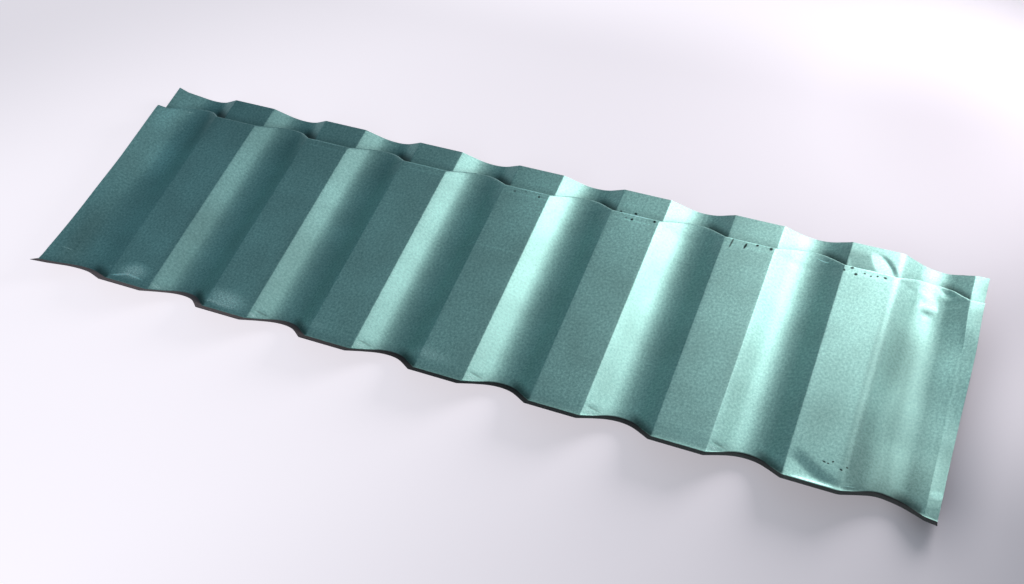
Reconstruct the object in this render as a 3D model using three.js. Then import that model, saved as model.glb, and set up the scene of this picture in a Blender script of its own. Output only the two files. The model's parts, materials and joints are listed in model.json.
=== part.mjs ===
import * as THREE from "three";
import { ConvexHull } from "three/addons/math/ConvexHull.js";

// A pressed steel roof sheet lying on its face, with its metallic back up. Round-bottomed troughs run
// side by side between flat ribs. One long edge is turned up into a nose, and the other long side steps
// down to a flange that carries the same waves. It is one blank of thin steel.
// Millimetres: X along the row of troughs, Y from the nose to the flange, Z up.

// The blank
const GAUGE = 0.5;
const BEND_RADIUS = 3;

// The row of troughs, seen along Y
const TROUGHS = 8;
const PITCH = 172.3;
const TROUGH_WIDTH = 98.7;
const FLANK_ANGLE = 36;
const BOTTOM_RADIUS = 47;
const LEFT_MARGIN = 15;
const RIGHT_MARGIN = 19.3;

// The section from the nose to the flange, taken along a rib
const FIELD_WIDTH = 341.5;
const NOSE_LENGTH = 19.4;
const NOSE_ANGLE = 47;
const NOSE_DRAW_IN = 5.5;
const STEP_DROP = 20;
const CREST_LEAN = 42.5;
const RISER_ANGLE = 75;
const FLANGE_REACH = 56.1;
const FLANGE_DRAW_OUT = 8.2;

// The left end of the nose is pulled outwards, and the edge above it follows.
const FLARE = 10;
const FLARE_LENGTH = 170;

// The first and the last trough have sprung open since they were pressed, and the ends of the sheet hang.
// Each line is one row along X. A trough's V, its outer crease and the sheet's edge are given by how far
// right of their pressed places they lie and how low, and the V also by how much wider its radius is. The
// last trough's inner flank has a soft bend half way down too, with its radius.
const ROWS = {
  nosePressed: {
    left: { bottom: [-2.3, 15.4, 33], crease: [0, -3.1], edge: [0, 2.5] },
    right: { bottom: [4, 4.6, 15], crease: [5.3, -7], edge: [2.5, -5.5] },
  },
  nose: {
    left: { bottom: [-2.3, 15.4, 33], crease: [0, -3.1], edge: [0, 2.5] },
    right: { flank: [3.3, 2.3, 60], bottom: [16.6, 8.3, -2], crease: [5.3, -16.6], edge: [2.5, -17.8] },
  },
  near: {
    left: { bottom: [-2.3, 15.4, 33], crease: [0, -3.1], edge: [0, 2.5] },
    right: { flank: [-0.7, 0.5, 70], bottom: [10.6, 1.3, -19], crease: [5.3, -26.4], edge: [2.5, -25.4] },
  },
  far: {
    left: { bottom: [0.8, 0.7, 0], crease: [0, -8.8], edge: [0, -1] },
    right: { flank: [9.3, -6.8, 60], bottom: [10.6, -0.4, -21], crease: [5.3, -19.8], edge: [2.5, -13.8] },
  },
  step: {
    left: { bottom: [0.8, 0.7, 0], crease: [0, -8.8], edge: [0, -1] },
    right: { flank: [5.3, -8.6, 40], bottom: [6.6, -3.6, -9], crease: [0.3, -12.5], edge: [0, -11.5] },
  },
  stepPressed: {
    left: { bottom: [0, 0, 0], crease: [0, 0], edge: [0, 3] },
    right: { bottom: [0, 0, 0], crease: [0, 0], edge: [0, 0] },
  },
};
// Where along Y each row turns into the next one
const NOSE_TO_NEAR = [20, 110];
const NEAR_TO_FAR = [130, 230];
const FAR_TO_STEP = [250, 335];
const FIELD_ROWS = [60, 120, 180, 240, 290];

// Chords per arc
const BOTTOM_CHORDS = 12;
const BEND_CHORDS = 3;
const SOFT_BEND_CHORDS = 2;

const flank = THREE.MathUtils.degToRad(FLANK_ANGLE);
const noseSlope = THREE.MathUtils.degToRad(NOSE_ANGLE);
const crestLean = THREE.MathUtils.degToRad(CREST_LEAN);
const riserSlope = THREE.MathUtils.degToRad(RISER_ANGLE);

// A trough is a V with a rounded bottom, which takes no more of the flanks than the bends at the ribs
// leave.
const halfWidth = TROUGH_WIDTH / 2;
const straight = halfWidth / Math.cos(flank) - BEND_RADIUS * Math.tan(flank / 2);
const bottomRadius = Math.min(BOTTOM_RADIUS, straight / Math.tan(flank));
const depth = halfWidth * Math.tan(flank) - bottomRadius * (1 / Math.cos(flank) - 1);

// A corner of a bent line, with the radius it is rounded to and the chords that its arc takes.
function corner(x, y, radius = BEND_RADIUS, chords = BEND_CHORDS) {
  return { at: new THREE.Vector2(x, y), radius, chords };
}

// The points of a line bent at the given corners. Its first and last corners are its ends, and a corner
// with no radius is a plain point of it.
function bentLine(corners) {
  const points = [corners[0].at];
  for (let i = 1; i < corners.length - 1; i++) {
    const { at, radius, chords } = corners[i];
    if (radius === 0) {
      points.push(at);
      continue;
    }
    const before = at.clone().sub(corners[i - 1].at).normalize();
    const after = corners[i + 1].at.clone().sub(at).normalize();
    const turn = Math.atan2(before.cross(after), before.dot(after));
    const side = Math.sign(turn);
    const start = at.clone().addScaledVector(before, -radius * Math.tan(Math.abs(turn) / 2));
    const centre = new THREE.Vector2(-before.y, before.x).multiplyScalar(side * radius).add(start);
    const from = start.clone().sub(centre).angle();
    const arc = new THREE.EllipseCurve(centre.x, centre.y, radius, radius, from, from + turn, side < 0);
    points.push(...arc.getPoints(chords));
  }
  points.push(corners.at(-1).at);
  return points;
}

// The row of troughs in X and Z: flat ribs at height 0, straight flanks and round bottoms, with the first
// and the last trough as they are given.
function troughRow({ left, right }) {
  const firstMiddle = (-(TROUGHS - 1) / 2) * PITCH;
  const lowerCorner = (x, y, wider) => {
    return corner(x, y - halfWidth * Math.tan(flank), bottomRadius + wider, BOTTOM_CHORDS);
  };
  const corners = [];
  for (let i = 0; i < TROUGHS; i++) {
    const middle = firstMiddle + i * PITCH;
    corners.push(corner(middle - halfWidth, 0), lowerCorner(middle, 0, 0), corner(middle + halfWidth, 0));
  }
  const leftCrease = firstMiddle - halfWidth;
  const leftEdge = leftCrease - LEFT_MARGIN;
  const rightCrease = -leftCrease;
  const rightEdge = rightCrease + RIGHT_MARGIN;
  corners.splice(0, 2,
    corner(leftEdge + left.edge[0], left.edge[1]),
    corner(leftCrease + left.crease[0], left.crease[1], 0),
    lowerCorner(firstMiddle + left.bottom[0], left.bottom[1], left.bottom[2]),
  );
  if (right.flank) {
    const [x, y, radius] = right.flank;
    const halfWayDown = [-firstMiddle - halfWidth / 2, (-halfWidth / 2) * Math.tan(flank)];
    corners.splice(-2, 0, corner(halfWayDown[0] + x, halfWayDown[1] + y, radius, SOFT_BEND_CHORDS));
  }
  corners.splice(-2, 2,
    lowerCorner(-firstMiddle + right.bottom[0], right.bottom[1], right.bottom[2]),
    corner(rightCrease + right.crease[0], right.crease[1]),
    corner(rightEdge + right.edge[0], right.edge[1]),
  );
  return bentLine(corners);
}

// Point i of the row at a distance from the nose's bend.
const rows = Object.fromEntries(Object.entries(ROWS).map(([name, ends]) => [name, troughRow(ends)]));
function pointAt(i, y) {
  return rows.nose[i]
    .clone()
    .lerp(rows.near[i], THREE.MathUtils.smoothstep(y, ...NOSE_TO_NEAR))
    .lerp(rows.far[i], THREE.MathUtils.smoothstep(y, ...NEAR_TO_FAR))
    .lerp(rows.step[i], THREE.MathUtils.smoothstep(y, ...FAR_TO_STEP));
}

// The height of a row's line where it passes a given X.
function heightAt(row, x) {
  const next = row.findIndex((p, k) => k > 0 && (p.x >= x || k === row.length - 1));
  const [a, b] = [row[next - 1], row[next]];
  return THREE.MathUtils.mapLinear(x, a.x, b.x, a.y, b.y);
}

// The section through point i of the row, in Y and Z. As pressed, the bend of the nose and the crest of
// the step each lie in one sloping plane all along the sheet, so the lower the row is, the further along
// Y it meets them. The press draws the edge of the nose in where it forms the troughs, and the edge of
// the flange out.
function sectionAt(i) {
  const atNose = rows.nose[i].y;
  const atStep = rows.step[i].y;
  const pressedAtNose = heightAt(rows.nosePressed, rows.nose[i].x);
  const pressedAtStep = heightAt(rows.stepPressed, rows.step[i].x);
  const bend = new THREE.Vector2(-pressedAtNose / Math.tan(noseSlope), atNose);
  const noseLength = NOSE_LENGTH + (NOSE_DRAW_IN * Math.min(pressedAtNose, 0)) / depth;
  const edge = new THREE.Vector2(-Math.cos(noseSlope), Math.sin(noseSlope)).multiplyScalar(noseLength).add(bend);
  const crest = FIELD_WIDTH - pressedAtStep / Math.tan(crestLean);
  const foot = crest + STEP_DROP / Math.tan(riserSlope);
  const end = FIELD_WIDTH + FLANGE_REACH - (FLANGE_DRAW_OUT * Math.min(pressedAtStep, 0)) / depth;
  return bentLine([
    corner(edge.x, edge.y),
    corner(bend.x, bend.y),
    ...FIELD_ROWS.map((y) => corner(y, pointAt(i, y).y, 0)),
    corner(crest, atStep),
    corner(foot, atStep - STEP_DROP),
    corner(end, atStep - STEP_DROP),
  ]);
}

// How far outwards the left edge lies at a distance from the nose's bend.
function flareAt(y) {
  const t = THREE.MathUtils.clamp(1 - y / FLARE_LENGTH, 0, 1);
  return FLARE * t * t;
}

// The sheet's middle surface: a plane whose grid of points is moved onto the sections, one for each
// point of the row.
function middleSurface() {
  const sections = rows.nose.map((_, i) => sectionAt(i));
  const across = sections.length;
  const along = sections[0].length;
  const surface = new THREE.PlaneGeometry(1, 1, across - 1, along - 1);
  for (let j = 0; j < along; j++) {
    for (let i = 0; i < across; i++) {
      const p = sections[i][along - 1 - j];
      const x = pointAt(i, p.x).x - (i === 0 ? flareAt(p.x) : 0);
      surface.attributes.position.setXYZ(j * across + i, x, p.x, p.y);
    }
  }
  surface.computeVertexNormals();
  return surface;
}

// Gives a surface the sheet's gauge: a skin on each side of it and the cut edge between them.
function thicken(surface) {
  const { widthSegments, heightSegments } = surface.parameters;
  const { position, normal } = surface.attributes;
  const count = position.count;
  const skins = new Float32Array(count * 6);
  for (let k = 0; k < count; k++) {
    const p = new THREE.Vector3().fromBufferAttribute(position, k);
    const n = new THREE.Vector3().fromBufferAttribute(normal, k);
    p.clone().addScaledVector(n, GAUGE / 2).toArray(skins, k * 3);
    p.clone().addScaledVector(n, -GAUGE / 2).toArray(skins, (count + k) * 3);
  }
  const faces = Array.from(surface.index.array);
  for (let k = 0, end = faces.length; k < end; k += 3) {
    faces.push(count + faces[k], count + faces[k + 2], count + faces[k + 1]);
  }
  const columns = widthSegments + 1;
  const lastRow = heightSegments * columns;
  const rim = [];
  for (let i = 0; i < widthSegments; i++) rim.push(i);
  for (let j = 0; j < heightSegments; j++) rim.push(j * columns + widthSegments);
  for (let i = widthSegments; i > 0; i--) rim.push(lastRow + i);
  for (let j = heightSegments; j > 0; j--) rim.push(j * columns);
  rim.forEach((a, k) => {
    const b = rim[(k + 1) % rim.length];
    faces.push(a, b, count + b, a, count + b, count + a);
  });
  const solid = new THREE.BufferGeometry();
  solid.setAttribute("position", new THREE.BufferAttribute(skins, 3));
  solid.setIndex(faces);
  return solid;
}

// The centre of gravity of a thin shell, from its faces.
function centreOfGravity(solid) {
  const { position } = solid.attributes;
  const centre = new THREE.Vector3();
  let area = 0;
  for (let k = 0; k < solid.index.count; k += 3) {
    const [a, b, c] = [0, 1, 2].map((n) => {
      return new THREE.Vector3().fromBufferAttribute(position, solid.index.getX(k + n));
    });
    const face = new THREE.Triangle(a, b, c);
    area += face.getArea();
    centre.addScaledVector(face.getMidpoint(new THREE.Vector3()), face.getArea());
  }
  return centre.divideScalar(area);
}

// Turns the sheet to how it lies unheld: on the lowest face of its convex hull that its centre of gravity
// stands over.
function settle(solid) {
  const { position } = solid.attributes;
  const points = [];
  for (let k = 0; k < position.count; k++) points.push(new THREE.Vector3().fromBufferAttribute(position, k));
  const centre = centreOfGravity(solid);
  const standsOver = ({ normal, edge }) => {
    return [edge, edge.next, edge.prev].every((side) => {
      const along = side.head().point.clone().sub(side.tail().point);
      return along.cross(centre.clone().sub(side.tail().point)).dot(normal) >= 0;
    });
  };
  const faces = new ConvexHull().setFromPoints(points).faces.filter(standsOver);
  const lowest = faces.reduce((a, b) => (b.normal.z < a.normal.z ? b : a));
  const down = new THREE.Vector3(0, 0, -1);
  solid.applyQuaternion(new THREE.Quaternion().setFromUnitVectors(lowest.normal, down));
}

// The sheet as it lies: the floor is Z = 0, and the origin is under the middle of the sheet's box.
const solid = thicken(middleSurface());
settle(solid);
solid.computeBoundingBox();
const middle = solid.boundingBox.getCenter(new THREE.Vector3());
solid.translate(-middle.x, -middle.y, -solid.boundingBox.min.z);
solid.computeVertexNormals();

const backCoat = new THREE.MeshStandardMaterial({ color: 0x5f958e, roughness: 0.35, metalness: 0.7 });
const sheet = new THREE.Mesh(solid, backCoat);
sheet.name = "corrugated_sheet";

const part = new THREE.Group();
part.add(sheet);

export default part;
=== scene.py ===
import json
import math

import bmesh
import bpy
from mathutils import Euler, Matrix, Vector


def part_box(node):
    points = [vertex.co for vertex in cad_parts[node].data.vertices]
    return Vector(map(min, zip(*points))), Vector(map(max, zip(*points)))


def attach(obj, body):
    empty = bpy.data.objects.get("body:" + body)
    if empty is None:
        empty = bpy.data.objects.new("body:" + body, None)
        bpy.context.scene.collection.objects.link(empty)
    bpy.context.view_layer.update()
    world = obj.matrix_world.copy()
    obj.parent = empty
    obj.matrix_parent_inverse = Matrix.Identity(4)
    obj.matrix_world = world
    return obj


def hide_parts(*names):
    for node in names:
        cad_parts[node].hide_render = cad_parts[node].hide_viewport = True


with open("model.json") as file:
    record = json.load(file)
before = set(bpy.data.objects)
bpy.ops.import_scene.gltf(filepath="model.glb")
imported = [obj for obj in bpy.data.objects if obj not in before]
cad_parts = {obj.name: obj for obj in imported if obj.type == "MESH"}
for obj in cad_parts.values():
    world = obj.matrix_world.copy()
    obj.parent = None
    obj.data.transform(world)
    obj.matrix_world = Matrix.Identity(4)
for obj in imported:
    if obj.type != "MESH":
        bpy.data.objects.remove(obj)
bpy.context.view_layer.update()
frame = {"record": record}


# The camera looks down at the sheet from its nose side, a little to the right of its middle, as a
# person standing over it would.
CAMERA_PLACE = (0.57637, -1.01742, 1.42284)
CAMERA_TURN = (38.4687, 4.8676, 22.181)
LENS_MM = 43.69
SENSOR_MM = 36

camera = bpy.data.objects.new("camera", bpy.data.cameras.new("camera"))
camera.data.lens = LENS_MM
camera.data.sensor_width = SENSOR_MM
camera.data.clip_end = 50
camera.matrix_world = Matrix.LocRotScale(
    Vector(CAMERA_PLACE), Euler([math.radians(a) for a in CAMERA_TURN]), None
)
bpy.context.collection.objects.link(camera)
bpy.context.scene.camera = camera
bpy.context.scene.view_settings.view_transform = "Standard"


# The sheet is one blank of 0.5 mm zinc-coated steel, pressed cold. Its die draws eight round-bottomed
# troughs between flat ribs, turns the near edge up into a nose and steps the far side down to a flange.
MM = 0.001
GAUGE = 0.5 * MM
BEND_RADIUS = 3 * MM
LAST_CREASE_RADIUS = 16 * MM
CREST_RADIUS = 4.5 * MM
TROUGHS = 8
PITCH = 172.3 * MM
TROUGH_WIDTH = 98.7 * MM
FLANK = math.radians(36)
BOTTOM_RADIUS = 47 * MM
LEFT_MARGIN = 15 * MM
RIGHT_MARGIN = 19.3 * MM
FIELD_WIDTH = 341.5 * MM
NOSE_LENGTH = 19.4 * MM
NOSE_SLOPE = math.radians(47)
NOSE_DRAW_IN = 5.5 * MM
STEP_DROP = 20 * MM
CREST_LEAN = math.radians(42.5)
RISER_SLOPE = math.radians(75)
FLANGE_REACH = 56.1 * MM
FLANGE_DRAW_OUT = 8.2 * MM
FLARE = 10 * MM
FLARE_LENGTH = 170 * MM

HALF = TROUGH_WIDTH / 2
V_DEPTH = HALF * math.tan(FLANK)
DEPTH = V_DEPTH - BOTTOM_RADIUS * (1 / math.cos(FLANK) - 1)

# The first and the last trough have sprung open since, and the ends of the sheet hang. Each line gives,
# in millimetres, how far right of its pressed place and how low the corner of the trough's V lies and
# how much wider its radius is, then the place and height of the outer crease and of the sheet's edge,
# and for the last trough those of a soft bend half way down its inner flank, with its radius.
LEFT_ENDS = {
    "nose_pressed": ((-2.3, 15.4, 33), (0, -3.1), (0, 2.5)),
    "nose": ((-2.3, 15.4, 33), (0, -3.1), (0, 2.5)),
    "near": ((-2.3, 15.4, 33), (0, -3.1), (0, 2.5)),
    "far": ((0.8, 0.7, 0), (0, -8.8), (0, -1)),
    "step": ((0.8, 0.7, 0), (0, -8.8), (0, -1)),
    "step_pressed": ((0, 0, 0), (0, 0), (0, 3)),
}
RIGHT_ENDS = {
    "nose_pressed": ((4, 4.6, 15), (5.3, -7), (2.5, -5.5)),
    "nose": ((16.6, 8.3, -2), (5.3, -16.6), (2.5, -17.8), (3.3, 2.3, 60)),
    "near": ((10.6, 1.3, 10), (5.3, -26.4), (2.5, -25.4), (-0.7, 0.5, 130)),
    "far": ((10.6, -0.4, -6), (5.3, -19.8), (2.5, -13.8), (9.3, -6.8, 90)),
    "step": ((6.6, -3.6, -9), (0.3, -12.5), (0, -11.5), (5.3, -8.6, 40)),
    "step_pressed": ((0, 0, 0), (0, 0), (0, 0)),
}
NOSE_TO_NEAR = (20 * MM, 110 * MM)
NEAR_TO_FAR = (130 * MM, 230 * MM)
FAR_TO_STEP = (250 * MM, 335 * MM)

# How finely the section is divided, from the nose to the flange. The field's runs end at these places
# along Y, and are closer near the nose and near the step.
NOSE_POINTS = 4
NOSE_BEND_POINTS = 4
FIELD_RUNS = [
    (50 * MM, 17),
    (80 * MM, 5),
    (230 * MM, 20),
    (295 * MM, 8),
]
CREST_RUN_POINTS = 16
CREST_POINTS = 5
RISER_POINTS = 5
FOOT_POINTS = 4
FLANGE_POINTS = 22


def even(count):
    """Where a straight run is divided, as shares of its length."""
    return [k / count for k in range(1, count + 1)]


def bent_line(corners, runs):
    """The points of a line with rounded corners, each given as (x, y, radius, chords).

    Runs says how each straight run between two corners is divided.
    """
    points = [Vector(corners[0][:2])]

    def run_to(end, shares):
        start = points[-1]
        points.extend(start.lerp(end, share) for share in shares)

    for i in range(1, len(corners) - 1):
        x, y, radius, chords = corners[i]
        at = Vector((x, y))
        if radius == 0:
            run_to(at, runs[i - 1])
            continue
        before = (at - Vector(corners[i - 1][:2])).normalized()
        after = (Vector(corners[i + 1][:2]) - at).normalized()
        turn = math.atan2(before.x * after.y - before.y * after.x, before.dot(after))
        side = math.copysign(1, turn)
        start = at - before * radius * math.tan(abs(turn) / 2)
        centre = start + Vector((-before.y, before.x)) * side * radius
        run_to(start, runs[i - 1])
        spoke = start - centre
        for k in range(1, chords + 1):
            c, s = math.cos(turn * k / chords), math.sin(turn * k / chords)
            points.append(centre + Vector((c * spoke.x - s * spoke.y, s * spoke.x + c * spoke.y)))
    run_to(Vector(corners[-1][:2]), runs[-1])
    return points


def trough_row(name):
    """The row of troughs in X and Z, from the left crease of the first trough."""
    left_v, left_crease, left_edge = [[value * MM for value in place] for place in LEFT_ENDS[name]]
    right_v, right_crease, right_edge, *soft_bend = [
        [value * MM for value in place] for place in RIGHT_ENDS[name]
    ]
    last = (TROUGHS - 1) * PITCH
    corners = [
        (-LEFT_MARGIN + left_edge[0], left_edge[1]),
        (left_crease[0], left_crease[1], 0, 0),
        (HALF + left_v[0], left_v[1] - V_DEPTH, BOTTOM_RADIUS + left_v[2], 24),
        (TROUGH_WIDTH, 0, BEND_RADIUS, 3),
    ]
    runs = [even(4), even(8), even(6), even(18)]
    for i in range(1, TROUGHS - 1):
        left = i * PITCH
        corners.append((left, 0, BEND_RADIUS, 3))
        corners.append((left + HALF, -V_DEPTH, BOTTOM_RADIUS, 14))
        corners.append((left + TROUGH_WIDTH, 0, BEND_RADIUS, 3))
        runs += [even(4), even(4), even(12 if i < TROUGHS - 2 else 36)]
    corners.append((last, 0, LAST_CREASE_RADIUS, 5))
    runs.append(even(6))
    for x, y, radius in soft_bend:
        corners.append((last + HALF / 2 + x, y - V_DEPTH / 2, radius, 5))
        runs.append(even(6))
    corners += [
        (last + HALF + right_v[0], right_v[1] - V_DEPTH, BOTTOM_RADIUS + right_v[2], 20),
        (last + TROUGH_WIDTH + right_crease[0], right_crease[1], BEND_RADIUS, 3),
        (last + TROUGH_WIDTH + RIGHT_MARGIN + right_edge[0], right_edge[1]),
    ]
    runs += [even(10), even(6)]
    return bent_line(corners, runs)


def smooth_share(y, start_end):
    """Rises smoothly from 0 to 1 between two places along Y."""
    t = max(0, min(1, (y - start_end[0]) / (start_end[1] - start_end[0])))
    return t * t * (3 - 2 * t)


rows = {name: trough_row(name) for name in LEFT_ENDS}


def point_at(i, y):
    """Point i of the row at a distance from the nose's bend, in X and Z."""
    near = rows["nose"][i].lerp(rows["near"][i], smooth_share(y, NOSE_TO_NEAR))
    far = near.lerp(rows["far"][i], smooth_share(y, NEAR_TO_FAR))
    return far.lerp(rows["step"][i], smooth_share(y, FAR_TO_STEP))


def height_at(row, x):
    """The height of a row's line where it passes a given X."""
    k = min(max(1, sum(p.x < x for p in row)), len(row) - 1)
    a, b = row[k - 1], row[k]
    return a.y + (b.y - a.y) * (x - a.x) / (b.x - a.x)


def section_at(i):
    """The section from the nose to the flange through point i of the row, in Y and Z."""
    at_nose, at_step = rows["nose"][i].y, rows["step"][i].y
    pressed_at_nose = height_at(rows["nose_pressed"], rows["nose"][i].x)
    pressed_at_step = height_at(rows["step_pressed"], rows["step"][i].x)
    bend = -pressed_at_nose / math.tan(NOSE_SLOPE)
    nose = NOSE_LENGTH + NOSE_DRAW_IN * min(pressed_at_nose, 0) / DEPTH
    crest = FIELD_WIDTH - pressed_at_step / math.tan(CREST_LEAN)
    foot = crest + STEP_DROP / math.tan(RISER_SLOPE)
    end = FIELD_WIDTH + FLANGE_REACH - FLANGE_DRAW_OUT * min(pressed_at_step, 0) / DEPTH
    corners = [
        (bend - nose * math.cos(NOSE_SLOPE), at_nose + nose * math.sin(NOSE_SLOPE)),
        (bend, at_nose, BEND_RADIUS, NOSE_BEND_POINTS),
    ]
    corners += [(y, 0, 0, 0) for y, count in FIELD_RUNS]
    corners += [
        (crest, at_step, CREST_RADIUS, CREST_POINTS),
        (foot, at_step - STEP_DROP, BEND_RADIUS, FOOT_POINTS),
        (end, at_step - STEP_DROP),
    ]
    # the field's plain corners lie at the height of the row there
    corners = [
        (c[0], point_at(i, c[0]).y, 0, 0) if len(c) == 4 and c[2] == 0 else c for c in corners
    ]
    runs = [even(NOSE_POINTS)] + [even(count) for y, count in FIELD_RUNS]
    runs += [even(CREST_RUN_POINTS), even(RISER_POINTS), even(FLANGE_POINTS)]
    points = bent_line(corners, runs)
    field_start = NOSE_POINTS + NOSE_BEND_POINTS + 1
    field_end = field_start + sum(count for y, count in FIELD_RUNS)
    for p in points[field_start:field_end]:
        p.y = point_at(i, p.x).y
    return points


sections = [section_at(i) for i in range(len(rows["nose"]))]
across, along = len(sections), len(sections[0])
bm = bmesh.new()
bmesh.ops.create_grid(bm, x_segments=across - 1, y_segments=along - 1, size=1)
bm.verts.ensure_lookup_table()
for j in range(along):
    for i in range(across):
        p = sections[i][j]
        bm.verts[j * across + i].co = (point_at(i, p.x).x, p.x, p.y)

# What handling has done to it, in millimetres from the first trough's left crease and the nose's bend.
# First the knocks: X, Y, length, width, turn in degrees and height.
KNOCKS = [
    (1248, 339, 44, 20, -25, 1.7),
    (1254, 323, 30, 18, 0, 1.9),
    (1254, 312, 28, 13, 0, -1.3),
    (1227, 339, 12, 8, 0, -1.2),
    (1270, 330, 26, 6, 12, -0.8),
    (1274, 354, 42, 12, -38, -1.6),
    (1281, 361, 36, 9, -38, 1.0),
    (136, 12, 62, 11, 0, 0.9),
    (132, 31, 34, 26, 10, 0.5),
    (104, 5, 26, 7, 60, 0.6),
    (52, 341, 30, 7, 45, -1.2),
    (30, 355, 26, 7, 20, 0.8),
    (30, 322, 30, 7, -20, 0.5),
    (80, 350, 20, 8, 60, 1.0),
    (611, 226, 30, 8, 25, 0.25),
    (1215, 12, 26, 7, 30, 0.5),
    (293, 8, 60, 10, -7, 0.4),
    (44, 329, 50, 12, -48, -1.3),
    (37, 317, 12, 8, 20, -1.2),
]
# and a small dent on the left flank of each trough from the third to the seventh
KNOCKS += [(n * PITCH / MM + 12, 19, 24, 7, 5, -0.8) for n in range(2, 7)]


# The fold in the last rib's flange and the push on that rib's near corner are placed from the left
# crease of the trough before them.
LAST_RIB = (TROUGHS - 2) * PITCH / MM
FOLD_TIP = 388
FOLD_LENGTH = 38
FOLD_REACH = 1.3
RIDGE_START = 128
RIDGE_SWING = 18
RIDGE_HEIGHT = 2.5
RIDGE_WIDTH = 32
GROOVE_START = 131
GROOVE_SWING = 39
GROOVE_DEPTH = 2
GROOVE_WIDTH = 7
PUSH_FROM = Vector((LAST_RIB + 110, 34))
PUSH_TO = Vector((LAST_RIB + 169, 0))
PUSH_DEPTH = 3.2
PUSH_EASE = 11
PUSH_FLAT = 7
PUSH_FADE = 23
LIP_DEPTH = 0.5
CREST_LIP_DEPTH = 0.6


def crinkle(x, y):
    """The sharp fold in the last rib's flange: a ridge on its left and a groove on its right."""
    up = (FOLD_TIP - y) / FOLD_LENGTH
    if not 0 < up < FOLD_REACH:
        return 0
    ridge = LAST_RIB + RIDGE_START + RIDGE_SWING * up * up
    groove = LAST_RIB + GROOVE_START + GROOVE_SWING * math.sqrt(min(up, 1))
    if not ridge - RIDGE_WIDTH <= x <= groove + GROOVE_WIDTH:
        return 0
    if x < ridge:
        height = RIDGE_HEIGHT * (x - ridge + RIDGE_WIDTH) / RIDGE_WIDTH
    elif x < groove:
        height = RIDGE_HEIGHT - (RIDGE_HEIGHT + GROOVE_DEPTH) * (x - ridge) / (groove - ridge)
    else:
        height = -GROOVE_DEPTH * (groove + GROOVE_WIDTH - x) / GROOVE_WIDTH
    return height * min(1, up * 4) * min(1, (FOLD_REACH - up) * 5)


def pushed_rib(x, y):
    """The last rib's near corner, pushed down along a slanting line."""
    line = PUSH_TO - PUSH_FROM
    length = line.length
    line.normalize()
    to = Vector((x, y)) - PUSH_FROM
    along_line = to.dot(line)
    below = line.y * to.x - line.x * to.y
    if not -PUSH_EASE <= below <= PUSH_FLAT + PUSH_FADE or not -10 < along_line < length + 4:
        return 0
    depth = PUSH_DEPTH * smooth_share(below, (-PUSH_EASE, PUSH_EASE))
    depth *= 1 - max(0, below - PUSH_FLAT) / PUSH_FADE
    return -depth * min(1, (along_line + 10) / 16) * min(1, max(0, y / 6))


def knocked(x, y):
    """The height that all the knocks add up to at a place."""
    height = 0
    for knock_x, knock_y, length, width, angle, knock_height in KNOCKS:
        away = Vector((x - knock_x, y - knock_y))
        if away.length < length:
            away.rotate(Matrix.Rotation(-math.radians(angle), 2))
            r = (2 * away.x / length) ** 2 + (2 * away.y / width) ** 2
            height += knock_height * max(0, 1 - r) ** 2
    return height


def lips(y):
    """The soft hollows that the press leaves beside the nose and before the step's crest."""
    beside_nose = smooth_share(24 - y, (0, 17)) * min(1, max(0, y / 4))
    before_crest = smooth_share(y, (326, 338)) * (1 - smooth_share(y, (338, 344)))
    return -LIP_DEPTH * beside_nose - CREST_LIP_DEPTH * before_crest


for v in bm.verts:
    x, y = v.co.x / MM, v.co.y / MM
    v.co.z += (knocked(x, y) + crinkle(x, y) + pushed_rib(x, y) + lips(y)) * MM

# the left edge, pulled outwards towards the nose
for v in bm.verts:
    if v.co.x < 0:
        share = min(1, -v.co.x / LEFT_MARGIN)
        t = max(0, min(1, 1 - v.co.y / FLARE_LENGTH))
        v.co.x -= share * FLARE * t * t

# how far over the steel each place is from the nose's edge, and from the step's foot
from_edge = bm.verts.layers.float.new("from_edge")
from_foot = bm.verts.layers.float.new("from_foot")
foot_row = along - 1 - FLANGE_POINTS
for i in range(across):
    length = 0
    for j in range(along):
        v = bm.verts[j * across + i]
        if j > 0:
            length += (sections[i][j] - sections[i][j - 1]).length
        v[from_edge] = length
    for j in range(along):
        v = bm.verts[j * across + i]
        v[from_foot] = v[from_edge] - bm.verts[foot_row * across + i][from_edge]

flat = bm.loops.layers.uv.new("flat")
for face in bm.faces:
    face.smooth = True
    for loop in face.loops:
        loop[flat].uv = loop.vert.co.xy
for edge in bm.edges:
    edge.smooth = not edge.is_boundary

# it lies on the floor with its back turned the way that the CAD's mounts say
back = Vector(frame["record"]["mounts"][0]["axis"])
turn = Vector((0, 0, 1)).rotation_difference(back)
bmesh.ops.rotate(bm, matrix=turn.to_matrix(), verts=bm.verts)
mesh = bpy.data.meshes.new("sheet")
bm.to_mesh(mesh)
bm.free()
sheet = bpy.data.objects.new("sheet", mesh)
bpy.context.collection.objects.link(sheet)
shell = sheet.modifiers.new("gauge", "SOLIDIFY")
shell.thickness = GAUGE
shell.offset = 0
shell.material_offset = 1
shell.material_offset_rim = 1

# its rounder bottoms reach a little lower than the CAD's chords, so it is fitted to the same box
low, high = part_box("corrugated_sheet")
finished = sheet.evaluated_get(bpy.context.evaluated_depsgraph_get()).to_mesh()
corners = [v.co.copy() for v in finished.vertices]
lowest = Vector([min(c[k] for c in corners) for k in range(3)])
highest = Vector([max(c[k] for c in corners) for k in range(3)])
fit = [min(1, (high - low)[k] / (highest - lowest)[k]) for k in range(3)]
foot = (low + high) / 2
foot.z = low.z
own_foot = (lowest + highest) / 2
own_foot.z = lowest.z
mesh.transform(Matrix.Translation(foot) @ Matrix.Diagonal((*fit, 1)) @ Matrix.Translation(-own_foot))


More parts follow.
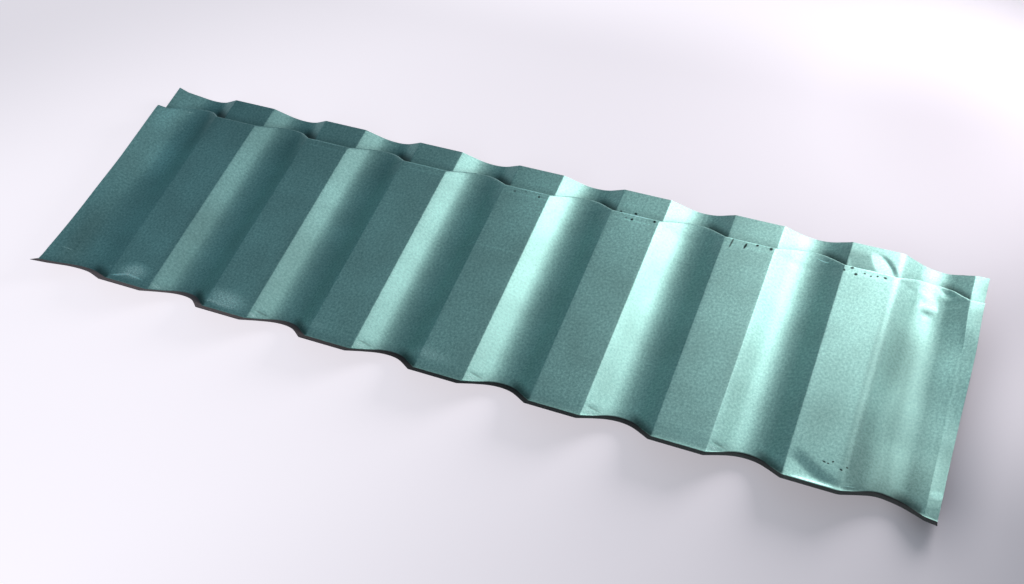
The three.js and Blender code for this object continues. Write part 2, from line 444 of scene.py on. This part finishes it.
# The back has a metallic green coat with a fine grain. Painted shade darkens its bends, handling has
# rubbed it pale in places, and the nose's edge is bare. The face underneath is dull and nearly black.
class Shader:
    """The nodes of one material."""

    def __init__(self, name):
        self.material = bpy.data.materials.new(name)
        self.material.use_nodes = True
        self.tree = self.material.node_tree
        self.surface = self.tree.nodes["Principled BSDF"]

    def set(self, socket, value):
        """Gives a socket a number, a colour or another node's output."""
        if isinstance(value, Value):
            value = value.socket
        if isinstance(value, bpy.types.NodeSocket):
            self.tree.links.new(value, socket)
        else:
            socket.default_value = value

    def node(self, kind, settings=None, sockets=None, output=0):
        """One output of a new node, made with these settings and socket values."""
        node = self.tree.nodes.new("ShaderNode" + kind)
        for name, value in (settings or {}).items():
            setattr(node, name, value)
        for name, value in (sockets or {}).items():
            self.set(node.inputs[name], value)
        return Value(self, node.outputs[output])

    def finish(self, **sockets):
        """Sets the surface's own sockets, named with _ for a space."""
        for name, value in sockets.items():
            self.set(self.surface.inputs[name.replace("_", " ")], value)
        return self.material


class Value:
    """A number or a colour that varies over a surface. Sums on it become Math nodes."""

    def __init__(self, shader, socket):
        self.shader = shader
        self.socket = socket

    def math(self, operation, first, second):
        return self.shader.node("Math", {"operation": operation}, {0: first, 1: second})

    def __add__(self, other):
        return self.math("ADD", self, other)

    def __sub__(self, other):
        return self.math("SUBTRACT", self, other)

    def __rsub__(self, other):
        return self.math("SUBTRACT", other, self)

    def __mul__(self, other):
        return self.math("MULTIPLY", self, other)

    __radd__ = __add__
    __rmul__ = __mul__

    def rise(self, low, high):
        """0 up to low and 1 from high on, smooth between them."""
        return self.shader.node(
            "MapRange",
            {"interpolation_type": "SMOOTHSTEP"},
            {"Value": self, "From Min": low, "From Max": high},
        )

    def band(self, start, full, fading, end):
        """1 from full to fading, and 0 before start and past end."""
        return self.rise(start, full) * (1 - self.rise(fading, end))

    def tint(self, colour):
        """The colour, as strong as this number says."""
        return self.shader.node(
            "VectorMath", {"operation": "SCALE"}, {0: colour, "Scale": self}
        )

    def between(self, first, second):
        """The first colour where this number is 0 and the second where it is 1."""
        return self.shader.node(
            "Mix", {"data_type": "RGBA"}, {"Factor": self, 6: first, 7: second}, output=2
        )


COAT = (0.354, 0.605, 0.56, 1)
COAT_LEFT = (0.336, 0.597, 0.572, 1)
COAT_ROUGHNESS = 0.62
NOSE_LEFT = (0.23, 0.175, 0.175, 1)
NOSE_RIGHT = (0.012, 0.014, 0.015, 1)
RUBBED = (0.64, 0.95, 0.9, 1)
GRAIN = 3.6 * MM
GRAIN_HEIGHT = 0.09 * MM
GRAIN_DARK = (0.3, 0.475, 0.465, 1)
GRAIN_LIGHT = (1.7, 1.525, 1.535, 1)
MOTTLE = 60 * MM
MOTTLE_CONTRAST = 0.28
SPECK = -0.9
STREAK = (16 * MM, 4 * MM)
# how strong the painted shade is in the step's foot, in the nose's bend and on the troughs' right flanks
FOOT_SHADE = 0.22
NOSE_SHADE = 0.12
FLANK_SHADE = 0.55
STRIP = 16.5 * MM
STRIP_FADE = 2.5 * MM
STRIP_WIDENS = 0.0012

# The marks on the back, each with X from the first trough's left crease, Y from the nose's bend, length
# and width in millimetres, turn in degrees, and how much lighter or darker than the coat it is.
MARKS = [
    (635.2, 332.9, 5.3, 4.8, 30, -0.5),
    (674.7, 332.3, 4.6, 4.8, 0, SPECK),
    (822, 331.8, 6, 4.8, 60, SPECK),
    (855.1, 337.1, 5.3, 6.1, 20, SPECK),
    (972, 332.2, 24, 3.6, 84, -0.7),
    (992.4, 332.4, 14, 4.4, 80, SPECK),
    (1008.4, 338.1, 6, 4.8, 40, SPECK),
    (1028.5, 337.6, 6, 7.2, 10, SPECK),
    (1133.7, 331.5, 4.1, 3.8, 0, SPECK),
    (1143.2, 338.5, 6.8, 4.5, 20, SPECK),
    (1150.3, 328.7, 6.1, 6, 50, SPECK),
    (1161.6, 333.6, 4.1, 3, 0, SPECK),
    (1170.4, 331.3, 4.7, 3, 45, SPECK),
    (1179, 333.9, 4.1, 3.8, 0, SPECK),
    (1189.6, 334, 6.8, 4.5, -20, SPECK),
    (1178.5, 32.7, 6.1, 2.7, -15, SPECK),
    (1183.7, 31.9, 4.1, 2.4, 0, SPECK),
    (1189.1, 35.9, 4.1, 2.7, 30, SPECK),
    (1201, 28.2, 5.4, 3, -20, SPECK),
    (1207.3, 33.6, 3.4, 2.7, 0, SPECK),
    (796, 355.8, 5, 4.8, 0, SPECK),
    (812.6, 332.3, 5, 4, 20, -0.4),
    (818.8, 357.8, 6, 4.8, -20, SPECK),
    (651.6, 337, 4.5, 4.2, 0, -0.3),
    # a painted highlight on the bend along the last rib's nose edge
    (1170, 1.5, 66, 5, 0, 1.1),
    # painted highlights on the first rib's bent facets beside the nose
    (118, 11, 36, 4, 18, 0.9),
    (139, 13.5, 40, 4, -6, 0.6),
    (1101, 353, 26, 2, -25, 0.6),
    (611.5, 227, 22, 1.6, 20, 0.3),
    (640, 224, 150, 2.5, 0, 0.12),
    # a painted highlight on a crease in the last trough beside the nose
    (1215.7, 11.2, 20, 1.8, 25, 0.6),
    (1320, 40, 24, 16, 0, 0.3),
]
# painted shade darkens the small dents on the left flanks, and painted highlights make the crest and its
# lip pale on the ribs
MARKS += [(n * PITCH / MM + 13, 18.5, 22, 4, 5, -0.3) for n in range(2, 7)]
MARKS += [(n * PITCH / MM + 135, 340.3, 90, 3, 0, 0.35) for n in range(1, 7)]
MARKS += [(n * PITCH / MM + 135, 329.5, 90, 5, 0, 0.1) for n in range(1, 7)]

# Broad soft patches of painted light and shade, where it is made lighter or darker, given in the same way
LIGHT_AND_SHADE_PATCHES = [
    (1256, 40, 150, 270, 0, -0.38),
    (1222, 235, 60, 270, 0, -0.25),
    (1297, 220, 60, 250, 0, 0.25),
    (1326, 60, 60, 260, 0, -0.35),
    (1326, 320, 34, 90, 0, -0.3),
    (678, 330, 110, 230, 0, 0.28),
    (822, 330, 120, 230, 0, 0.25),
    (250, 345, 800, 240, 0, -0.16),
    (1150, 375, 150, 70, 0, -0.3),
    (34, 260, 70, 160, 0, 0.25),
    (136, 26, 70, 40, 8, 0.2),
    (298, 16, 100, 44, -6, 0.2),
    (184, 110, 60, 280, 0, -0.22),
    (357, 110, 60, 280, 0, -0.2),
    (1205, 170, 24, 380, 0, -0.25),
    (10, 50, 70, 230, 0, -0.25),
    (5, 330, 50, 130, 0, 0.3),
    (80, 325, 80, 150, 0, -0.22),
    (1215, 60, 50, 220, 0, -0.3),
    (1250, 215, 70, 260, 0, -0.3),
    (1328, 190, 40, 140, 0, 0.15),
    (876, 110, 60, 320, 0, -0.1),
    (1048, 110, 60, 320, 0, -0.15),
    (1330, 378, 60, 70, 0, -0.5),
    (1258, 180, 190, 520, 0, -0.18),
    (1296, 48, 60, 120, 0, -0.22),
    (1166, 95, 100, 170, 0, -0.2),
]

# Where it has been rubbed pale, given in the same way
RUBS = [
    (3, 31.5, 28, 3, 6, 0.45),
    (118, 11, 34, 7, 18, 0.8),
    (137, 13.5, 44, 7, -6, 0.7),
    (134, 22, 66, 40, 8, 0.8),
    (92, 21, 8, 6, 0, 0.8),
    (180, 11, 22, 9, 0, 0.4),
    (276, 11, 26, 6, 10, 0.6),
    (296, 10, 70, 9, -4, 0.7),
    (301, 20, 96, 44, -6, 0.7),
    (349, 9, 18, 8, 0, 0.5),
    (440, 22, 80, 26, -4, 0.2),
    (625, 26, 110, 28, -4, 0.35),
    (37, 318, 14, 4, -20, 0.5),
    (29, 353, 22, 5, 20, 0.4),
    (92, 380, 22, 4, 62, 0.5),
    (97, 344, 16, 4, 20, 0.6),
]
# and beside the nose, on the left flank of each trough from the fourth to the seventh
RUBS += [(n * PITCH / MM + 7, 11, 20, 9, 0, 0.5) for n in range(3, 7)]

coat = Shader("back coat")
place = coat.node("UVMap", {"uv_map": "flat"})
grain = coat.node(
    "TexNoise",
    {"noise_dimensions": "2D"},
    {"Vector": place, "Scale": 1 / GRAIN, "Detail": 3, "Roughness": 0.8},
)
mottle = coat.node(
    "TexNoise",
    {"noise_dimensions": "2D"},
    {"Vector": place, "Scale": 1 / MOTTLE, "Detail": 2, "Roughness": 0.5},
)
shade = 1 + (mottle - 0.5) * MOTTLE_CONTRAST


def mark(x, y, length, width, angle, edge):
    """An oval on the sheet: 1 inside, and 0 from its rim out. Edge is the share that fades."""
    spot = coat.node(
        "Mapping",
        {"vector_type": "TEXTURE"},
        {
            "Vector": place,
            "Location": (x * MM, y * MM, 0),
            "Rotation": (0, 0, math.radians(angle)),
            "Scale": (length / 2 * MM, width / 2 * MM, 1),
        },
    )
    oval = coat.node("TexGradient", {"gradient_type": "SPHERICAL"}, {"Vector": spot}, output=1)
    return oval.rise(0, edge)


for *oval, change in MARKS:
    shade = shade * (1 + mark(*oval, 0.5) * change)
for *oval, change in LIGHT_AND_SHADE_PATCHES:
    shade = shade * (1 + mark(*oval, 1) * change)
streaked = coat.node("Mapping", None, {"Vector": place, "Scale": (1 / STREAK[0], 1 / STREAK[1], 1)})
streaks = coat.node("TexNoise", {"noise_dimensions": "2D"}, {"Vector": streaked, "Detail": 2})
streaks = streaks.rise(0.48, 0.58)
rubbed = 0
for *oval, amount in RUBS:
    rubbed = rubbed + mark(*oval, 1) * amount
rubbed = coat.node("Math", {"operation": "MINIMUM"}, {0: rubbed * (0.06 + streaks * 1.5), 1: 1})

# painted shade darkens the step's foot, most where the troughs' right flanks run into it
along_row = coat.node("SeparateXYZ", None, {"Vector": place})
in_pitch = coat.node("Math", {"operation": "FRACT"}, {0: along_row * (1 / PITCH)}) * (PITCH / MM)
right_flank = in_pitch.band(52, 72, 97, 102)
past_foot = coat.node("Attribute", {"attribute_name": "from_foot"}, output=2)
in_foot = past_foot.band(-9 * MM, -3 * MM, 3 * MM, 22 * MM)
shade = shade * (1 - in_foot * (FOOT_SHADE + right_flank * FLANK_SHADE))

# and painted shade in the nose's bend, most on the troughs' right flanks; its edge is bare, brownish at
# the left and black at the right
up_nose = coat.node("Attribute", {"attribute_name": "from_edge"}, output=2)
in_bend = up_nose.band(4 * MM, 12 * MM, 17 * MM, 34 * MM)
shade = shade * (1 - in_bend * (NOSE_SHADE + right_flank * FLANK_SHADE))
bare = 1 - (up_nose - along_row * STRIP_WIDENS).rise(STRIP - STRIP_FADE, STRIP)

bump = coat.node("Bump", None, {"Height": grain, "Strength": 0.5, "Distance": GRAIN_HEIGHT})
# the coat is a little bluer towards the left end, a painted reflection
coat_colour = along_row.rise(0, 700 * MM).between(COAT_LEFT, COAT)
flakes = grain.between(GRAIN_DARK, GRAIN_LIGHT)
coat_colour = coat.node("VectorMath", {"operation": "MULTIPLY"}, {0: coat_colour, 1: flakes})
nose_paint = along_row.rise(100 * MM, 700 * MM).between(NOSE_LEFT, NOSE_RIGHT)
coat_paint = coat.finish(
    Base_Color=bare.between(rubbed.between(shade.tint(coat_colour), RUBBED), nose_paint),
    Metallic=(1 - bare) * (1 - rubbed),
    Roughness=COAT_ROUGHNESS + (grain - 0.5) * 0.2 + bare * 0.3,
    Specular_IOR_Level=0.25,
    Normal=bump,
)

# the face underneath has a finer grain and no marks
FACE_COAT = (0.03, 0.035, 0.04)
FACE_GRAIN = 2.5 * MM

face = Shader("face coat")
face_place = face.node("UVMap", {"uv_map": "flat"})
face_grain = face.node(
    "TexNoise",
    {"noise_dimensions": "2D"},
    {"Vector": face_place, "Scale": 1 / FACE_GRAIN, "Detail": 2},
)
face_paint = face.finish(
    Base_Color=(1 + (face_grain - 0.5) * 0.6).tint(FACE_COAT),
    Roughness=0.5,
)
mesh.materials.append(coat_paint)
mesh.materials.append(face_paint)
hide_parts("corrugated_sheet")
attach(sheet, "root")


# The floor is a plain pale board. It takes the sheet's shadow, and glows by itself where it is seen, most
# at the left, where the window gives it least.
FLOOR_HALF = 6
FLOOR_COLOUR = (0.42, 0.41, 0.45)
GLOW_COLOUR = (1, 0.94, 1)
GLOW = 0.82
DARK_FROM, DARK_TO = -0.89, 0.91
UNDER_WINDOW = (0.64, 0.56, 0)
PALE_SPOT = (0.78, 0.02, 0)
EDGE_SHADE = (0.675, -0.03)
BEHIND_WINDOW = 0.85

bm = bmesh.new()
bmesh.ops.create_grid(bm, x_segments=1, y_segments=1, size=FLOOR_HALF)
mesh = bpy.data.meshes.new("floor")
bm.to_mesh(mesh)
bm.free()
floor = bpy.data.objects.new("floor", mesh)
bpy.context.collection.objects.link(floor)

board = Shader("floor")
spot = board.node("TexCoord", output=3)
x = board.node("SeparateXYZ", None, {"Vector": spot})
y = board.node("SeparateXYZ", None, {"Vector": spot}, output=1)


def away_from(place):
    """The distance over the floor from a place on it."""
    return board.node("VectorMath", {"operation": "DISTANCE"}, {0: spot, 1: place}, output=1)


def far_from(value, centre):
    """How far a number lies from another, on either side of it."""
    return board.node("Math", {"operation": "ABSOLUTE"}, {0: value - centre})


# the glow fades towards the window, and a little towards the two far corners
to_window = board.node(
    "MapRange", None, {"Value": x + y * 0.35, "From Min": DARK_FROM, "From Max": DARK_TO}
)
glow = (1 - to_window * to_window) * (1 - (y - x).rise(0.7, 1.4) * 0.22)
glow = glow * (1 - (x - y).rise(0.2, 0.7) * 0.1)

# it is out right under the window, a painted shadow takes it out close beside the sheet's end, and it is
# stronger far back
lit = away_from(UNDER_WINDOW).rise(0, 0.3)
shadow_beside_sheet = 1 - far_from(x, EDGE_SHADE[0]).rise(0, 0.075)
shadow_along_sheet = 1 - far_from(y, EDGE_SHADE[1]).rise(0.1, 0.24)
glow = glow * lit * (1 - shadow_beside_sheet * shadow_along_sheet) + y.rise(0.5, 0.75) * 0.27
# a painted pool of light on the board just right of the sheet's end
glow = glow + (1 - away_from(PALE_SPOT).rise(0, 0.2)) * 0.2

# behind the window it is even
behind_window = 1 - (1 - x.rise(0.79, 1.1)) * (1 - (x + y * 0.8).rise(1.3, 1.75))
glow = glow * (1 - behind_window) + behind_window * BEHIND_WINDOW

# camera, glossy and transmission rays see it
seen = board.node("LightPath") + board.node("LightPath", output=3) + board.node("LightPath", output=6)
# the board's colour is a little darker right under the window, painted shade that evens out the window's
# light there
paint = board.finish(
    Base_Color=(0.93 + lit * 0.07).tint(FLOOR_COLOUR),
    Roughness=0.9,
    Emission_Color=(glow * seen).tint(GLOW_COLOUR),
    Emission_Strength=GLOW,
)
mesh.materials.append(paint)


# The light is one soft window high up behind the right end, a weak fill from the front and a pale room.
ROOM_COLOUR = (0.53, 0.775, 0.95, 1)
ROOM_STRENGTH = 0.23

world = bpy.data.worlds.new("studio")
bpy.context.scene.world = world
world.use_nodes = True
world.node_tree.nodes["Background"].inputs["Color"].default_value = ROOM_COLOUR
world.node_tree.nodes["Background"].inputs["Strength"].default_value = ROOM_STRENGTH


def disk_lamp(name, place, aim, size, watts, colour=(1, 1, 1)):
    """A round area lamp at a place, turned to a point."""
    lamp = bpy.data.objects.new(name, bpy.data.lights.new(name, "AREA"))
    lamp.data.shape = "DISK"
    lamp.data.size = size
    lamp.data.energy = watts
    lamp.data.color = colour
    lamp.location = place
    lamp.rotation_euler = (Vector(place) - Vector(aim)).to_track_quat("Z", "Y").to_euler()
    bpy.context.collection.objects.link(lamp)


disk_lamp("front fill", (-0.2, -1.1, 0.7), (0, 0, 0), 0.8, 2.2)
disk_lamp("window", (0.7461, 0.626, 0.48), (-0.05, 0, 0), 0.66, 9.9, (1, 0.93, 0.925))
